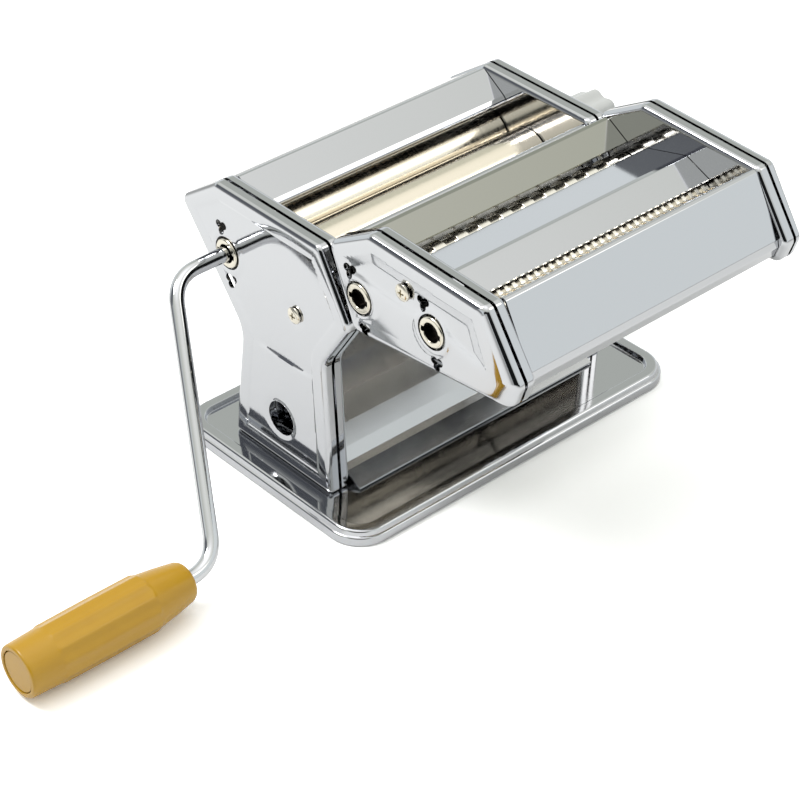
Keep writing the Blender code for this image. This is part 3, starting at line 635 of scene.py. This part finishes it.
arm, lean = 117.3, math.radians(42.5)
handle_axis = (drive_axis[0] - arm * math.sin(lean), drive_axis[1] - arm * math.cos(lean))
first_bend, second_bend = -(outer_face + 29.4), -(outer_face + 74.4)
neck = second_bend - 15.0
rod_tip = -(shaft_end + 1.0)
bend_reach = 13.0
corners = [Vector((rod_tip, *drive_axis)), Vector((first_bend, *drive_axis)),
           Vector((second_bend, *handle_axis)), Vector((neck - 62.0, *handle_axis))]
path = [corners[0]]
for k in (1, 2):
    a, p, b = corners[k - 1], corners[k], corners[k + 1]
    start, end = p + (a - p).normalized() * bend_reach, p + (b - p).normalized() * bend_reach
    path += [start * (1 - t) ** 2 + p * 2 * t * (1 - t) + end * t ** 2 for t in [s / 24 for s in range(25)]]
path.append(corners[3])
rod_chrome = metal("chromium_plated_bright_rod", "#c8c9cb", 0.05, 0.1, 14)
piece("crank_rod_bar", tube(path, 3.5, 48), rod_chrome, "crank", "rod_chrome", "crank_rod", sharp=50)

yellow_plastic = moulded("glossy_moulded_mustard_plastic", "#a87e14", "#ae861a", 0.24, 1.6, 0.012)
end = neck - 86.0
outside = [(neck, 6.8), (neck - 0.3, 7.6), (neck - 1.0, 8.5), (neck - 2.6, 9.4), (neck - 12.0, 11.1),
           (neck - 20.6, 12.35), (neck - 21.6, 12.6), (neck - 22.2, 13.0), (neck - 23.0, 13.2), (neck - 46.0, 13.3),
           (neck - 69.6, 13.1), (neck - 70.4, 12.9), (neck - 71.0, 12.65), (neck - 71.8, 12.6), (end + 1.8, 12.1)]
outside += arc((end + 1.2, 10.85), 1.2, 80, 180, 6)
inside = [(end, 9.9), (end + 0.3, 9.6), (end + 2.6, 9.6), (end + 2.6, 3.56), (neck - 0.3, 3.56), (neck, 3.9)]
flute = {7: 0.35, 8: 0.55, 9: 0.6, 10: 0.55, 11: 0.35}
grip = spun(outside + inside, handle_axis, 144, True, lambda a, k: -flute.get(k, 0) * abs(math.cos(6 * a)) ** 1.5)
piece("handle_grip", grip, yellow_plastic, "handle", "yellow_plastic", "crank_handle", sharp=40)
disc = [(end + 0.5, 8.6), (end + 0.35, 9.0), (end + 0.55, 9.25), (end + 2.3, 9.25)]
piece("handle_end_cap", spun(disc, handle_axis, 96), yellow_plastic, "handle", "yellow_plastic", "handle_cap")

# ---------------------------------------------------------------- side covers of the double cutter
# The cutter's sides are drawn pans like the body's. A long curved step crosses each outer pan: the field below it,
# which holds the sockets, stands higher than the strip above. Chromium plated.
cutter_outline = [(-45.5, 98.0, 4.0), (-30.0, 135.5, 4.0), (-55.5, 150.5, 6.0), (-123.0, 148.0, 4.0),
                  (-142.8, 119.5, 4.0), (-139.0, 108.0, 5.0)]
apart, tilt = 15.6, math.radians(15)
pairs = []
for driven in (wide_axis, thin_axis):
    pairs.append((driven, (driven[0] - apart * math.cos(tilt), driven[1] + apart * math.sin(tilt))))
step_line = [(-20, 131.5), (-33.4, 130.6), (-39.2, 129.6), (-50.6, 129.4), (-58.7, 128.2), (-66.9, 127.0),
             (-76.9, 126.2), (-82.9, 127.7), (-88.8, 130.1), (-94.6, 131.2), (-99.5, 130.1), (-103.4, 127.6),
             (-109.3, 124.9), (-116.9, 123.4), (-127.4, 120.7), (-150, 114)]
cutter_floor = [(-46.8, 102.0, 3.0), (-33.2, 134.2, 3.0), (-56.4, 147.6, 5.0), (-120.5, 144.8, 4.0),
                (-132.6, 116.5, 4.0), (-129.5, 109.6, 4.0)]
border_width = 4.4
cutter_border = ((0.8, 0.0), (border_width, 0.05))
cutter_lobes = ((6.1, 10.8), (-3.3, -13.4))


def step_height(y):
    """Height of the step's curve at a distance along the cover."""
    for (y0, z0), (y1, z1) in zip(step_line, step_line[1:]):
        if y1 <= y <= y0:
            t = (y0 - y) / (y0 - y1)
            t = t * t * (3 - 2 * t)
            return z0 + (z1 - z0) * t
    return step_line[-1][1]


def step_relief(y, z, sockets):
    """Pressed relief of the cutter's outer pans."""
    edge = math.inf
    for a, b in zip(cutter_floor, cutter_floor[1:] + cutter_floor[:1]):
        a, b = Vector(a[:2]), Vector(b[:2])
        edge = min(edge, abs((b - a).normalized().cross(Vector((y, z)) - a)) - border_width)
    height = -0.9 * math.exp(-max(step_height(y) - z, 0.0) / 1.9) * min(1.0, max(edge, 0.0) / 6.0)
    for driven, _ in pairs if sockets else ():
        height += 0.4 * hill(math.dist((y, z), driven) - collar, 1.0)
    return height - 0.35 * hill(math.dist((y, z), cutter_screw) - 4.4, 1.2)


for side, label in ((-1, "crank_side"), (1, "knob_side")):
    ends = sorted((side * (outer_face - 4), side * (outer_face + 4)))
    holes = [round_cutter(*ends, *cutter_screw, screw_hole)]
    for driven, _ in pairs if side < 0 else ():
        holes.append(round_cutter(*ends, *driven, socket_hole, 64))
        holes += [lobed_cutter(*ends, driven[0] + y, driven[1] + z) for y, z in cutter_lobes]
    shell = pan(cutter_outline, cutter_floor, side, outer_face, bend=3.4, border=cutter_border)
    press(shell, side, outer_face - cutter_border[-1][1], 1.2, lambda y, z: step_relief(y, z, side < 0))
    name = f"cutter_outer_cover_{label}"
    piece(f"{name}_sheet", carve(shell, holes), chrome_sheet, "cutter", "mirror_chrome", name)
    ends = sorted((side * (inner_face - 4), side * (inner_face + 4)))
    holes = [round_cutter(*ends, *cutter_screw, screw_hole)]
    holes += [round_cutter(*ends, *axis, 3.1) for pair in pairs for axis in pair]
    shell = pan(cutter_outline, inset_corners(cutter_outline, 2.8), side, inner_face)
    name = f"cutter_inner_cover_{label}"
    piece(f"{name}_sheet", carve(shell, holes), chrome_sheet, "cutter", "mirror_chrome", name)

# ---------------------------------------------------------------- guards and panel of the double cutter
# Three folded and plated sheets between the cutter's sides: the rear guard, the ridge between the two pairs of
# rollers, and the front panel, which wraps round under the nose.
cutter_sheets = {
    "cutter_rear_guard": (0.8, 1.0, [(-48.5, 129.0), (-37.2, 135.6), (-34.8, 135.6), (-34.4, 133.4),
                                     (-38.5, 123.5)]),
    "cutter_middle_guard": (1.0, 0.8, [(-60.6, 130.8), (-82.2, 136.6), (-84.2, 136.8), (-85.8, 136.2),
                                       (-97.5, 131.4)]),
    "cutter_front_panel": (1.2, 1.0, [(-112.5, 136.6), (-120.4, 146.2), (-121.6, 146.9), (-122.9, 146.2),
                                      (-137.6, 119.8), (-138.2, 116.6), (-136.4, 111.6), (-133.2, 109.4),
                                      (-127.5, 108.6)]),
}
# The rear guard's plating is painted darker and greener than the other sheets: a painted shade for the darker
# surroundings it mirrors.
guard_chrome_painted_shade = metal("chromium_plated_sheet_painted_darker", "#a6a69e", 0.06, 0.1, 18, 45, 0.00006)
for name, (bend, thick, path) in cutter_sheets.items():
    finish = guard_chrome_painted_shade if name == "cutter_rear_guard" else chrome_sheet
    folded(f"{name}_sheet", path, bend, thick, finish, "cutter", "mirror_chrome", name)

# ---------------------------------------------------------------- cutter rollers
# Two pairs of grooved steel rollers whose lands run in each other's grooves: 6.5 mm ribbons behind, 2 mm ones in
# front. Turned with square lands and lightly broken edges.
cutter_steel = turned_metal("turned_grooved_roller_steel", "#f2ede3", 0.2, 0.32, 0.8, 0.0015)
land, groove, land_gap = 8.3, 6.9, 0.15
for label, pair, pitch, count in (("wide", pairs[0], 6.5, 22), ("thin", pairs[1], 2.1, 67)):
    for which, (member, body, axis) in enumerate((("driven", f"{label}_driven", pair[0]),
                                                  ("front", f"{label}_front", pair[1]))):
        broken = 0.2 if pitch > 3 else 0.1
        profile = [(-shaft_end, 2.6), (-shaft_end + 0.4, 3.0), (-roller_end, 3.0), (-roller_end, groove)]
        for k in range(which, count, 2):
            a, b = (k - count / 2) * pitch + land_gap, (k + 1 - count / 2) * pitch - land_gap
            profile += [(a, groove), (a, land - broken), (a + broken, land), (b - broken, land), (b, land - broken),
                        (b, groove)]
        profile += [(roller_end, groove), (roller_end, 3.0), (shaft_end - 0.4, 3.0), (shaft_end, 2.6)]
        name = f"{label}_cutter_{member}"
        piece(f"{name}_steel", spun(profile, axis, 48), cutter_steel, body, "roller_steel", name)

# ---------------------------------------------------------------- studio
# White paper under a soft box, in a room whose pale wall has soft-edged light and dark cards for the plating to
# mirror. The camera sees the paper and the room as plain white; in mirror images the paper's colour darkens outward, a
# painted shade for light falling off away from the soft box.
floor_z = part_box("rubber_foot_fl")[0].z
ground = bmesh.new()
bmesh.ops.create_grid(ground, x_segments=1, y_segments=1, size=6.0)
bmesh.ops.translate(ground, vec=(0, 0, floor_z), verts=ground.verts)
mesh = bpy.data.meshes.new("floor")
ground.to_mesh(mesh)
ground.free()
floor = bpy.data.objects.new("floor", mesh)
bpy.context.scene.collection.objects.link(floor)
floor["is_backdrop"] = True
paper, tree, shader, at = blank_material("white_matt_paper")
# Painted shade: the paper's colour falls from 0.84 to 0.42 with distance from the machine, seen only in mirror images.
away = add(tree, "ShaderNodeVectorMath", {"operation": "LENGTH"}, {0: at})
painted_fall_off = add(tree, "ShaderNodeMapRange", {"interpolation_type": "SMOOTHSTEP", "From Min": 0.35, "From Max": 1.3,
                                        "To Min": 0.84, "To Max": 0.42}, {"Value": away.outputs["Value"]})
seen = add(tree, "ShaderNodeLightPath").outputs["Is Camera Ray"]
tone = add(tree, "ShaderNodeMix", {"data_type": "FLOAT", "B": 1.3}, {"Factor": seen, "A": painted_fall_off.outputs["Result"]})
grey = add(tree, "ShaderNodeCombineColor", None, {"Red": tone.outputs["Result"], "Green": tone.outputs["Result"],
                                                 "Blue": tone.outputs["Result"]})
tree.links.new(grey.outputs["Color"], shader.inputs["Base Color"])
shader.inputs["Roughness"].default_value = 0.9
shader.inputs["Specular IOR Level"].default_value = 0.1
mesh.materials.append(paper)

world = bpy.data.worlds.new("studio")
bpy.context.scene.world = world
world.use_nodes = True
tree = world.node_tree
tree.nodes.clear()
direction = add(tree, "ShaderNodeTexCoord").outputs["Generated"]
height = add(tree, "ShaderNodeSeparateXYZ", None, {"Vector": direction}).outputs["Z"]
wall = add(tree, "ShaderNodeValToRGB", None, {"Fac": height})
ramp = wall.color_ramp
steps = ((0.0, 0.98, 1.03, 1.04), (0.30, 0.98, 1.03, 1.04), (0.55, 0.78, 0.80, 0.74),
         (0.74, 0.98, 1.0, 0.94), (0.88, 1.25, 1.25, 1.22), (1.0, 1.9, 1.9, 1.9))
while len(ramp.elements) < len(steps):
    ramp.elements.new(1.0)
for element, (position, r, g, b) in zip(ramp.elements, steps):
    element.position = position
    element.color = (r, g, b, 1.0)
shown = wall.outputs["Color"]


def card(below, towards, size, soft, colour, squeeze=(1, 1, 1)):
    """A soft-edged oval of light or dark in one direction of the room."""
    aim = Vector(towards).normalized()
    away = add(tree, "ShaderNodeVectorMath", {"operation": "SUBTRACT", 1: aim}, {0: direction})
    away = add(tree, "ShaderNodeVectorMath", {"operation": "MULTIPLY", 1: squeeze}, {0: away.outputs[0]})
    far = add(tree, "ShaderNodeVectorMath", {"operation": "LENGTH"}, {0: away.outputs[0]})
    edge = add(tree, "ShaderNodeMapRange", {"interpolation_type": "SMOOTHSTEP", "From Min": size,
                                            "From Max": size + soft, "To Min": 1.0, "To Max": 0.0},
               {"Value": far.outputs["Value"]})
    mixed = add(tree, "ShaderNodeMix", {"data_type": "RGBA"}, {"Factor": edge.outputs["Result"]})
    tree.links.new(below, mixed.inputs["A"])
    mixed.inputs["B"].default_value = (*colour, 1.0)
    return mixed.outputs["Result"]


shown = card(shown, (0.54, -0.79, 0.22), 0.42, 0.15, (1.03, 1.08, 1.08), (1, 1, 1.1))
shown = card(shown, (0.54, 0.60, 0.59), 0.16, 0.16, (0.66, 0.69, 0.64))
shown = card(shown, (0.52, -0.50, 0.70), 0.11, 0.12, (3.0, 2.95, 2.8))
shown = card(shown, (-0.85, 0.52, -0.02), 0.40, 0.30, (0.28, 0.29, 0.30), (1, 1, 2.2))
shown = card(shown, (-0.62, 0.62, 0.45), 0.20, 0.22, (0.16, 0.17, 0.19))
shown = card(shown, (-0.70, -0.68, 0.22), 0.50, 0.10, (0.012, 0.014, 0.014), (1, 1, 1.6))
light = add(tree, "ShaderNodeBackground", None, {"Color": shown})
white = add(tree, "ShaderNodeBackground", {"Color": (1, 1, 1, 1)})
seen = add(tree, "ShaderNodeLightPath").outputs["Is Camera Ray"]
pick = add(tree, "ShaderNodeMixShader", None, {0: seen, 1: light.outputs[0], 2: white.outputs[0]})
add(tree, "ShaderNodeOutputWorld", None, {"Surface": pick.outputs[0]})


def soft_box(name, at, size, power):
    """A square soft box aimed at the machine."""
    lamp = bpy.data.lights.new(name, "AREA")
    lamp.size = size
    lamp.energy = power
    box = bpy.data.objects.new(name, lamp)
    box.location = at
    box.rotation_euler = (-Vector(at)).to_track_quat("-Z", "Y").to_euler()
    bpy.context.scene.collection.objects.link(box)


soft_box("key_light", (-0.75, 0.60, 1.5), 0.6, 18.0)

camera = bpy.data.objects.new("camera", bpy.data.cameras.new("camera"))
bpy.context.scene.collection.objects.link(camera)
bpy.context.scene.camera = camera
camera.data.lens = 111.0
camera.data.sensor_width = 36.0
camera.location = Vector((-638.0, -690.7, 680.2)) * MM
aim = Vector((-31.2, -14.6, 19.9)) * MM
camera.rotation_euler = (aim - camera.location).to_track_quat("-Z", "Y").to_euler()
bpy.context.scene.view_settings.view_transform = "Standard"

low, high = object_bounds()
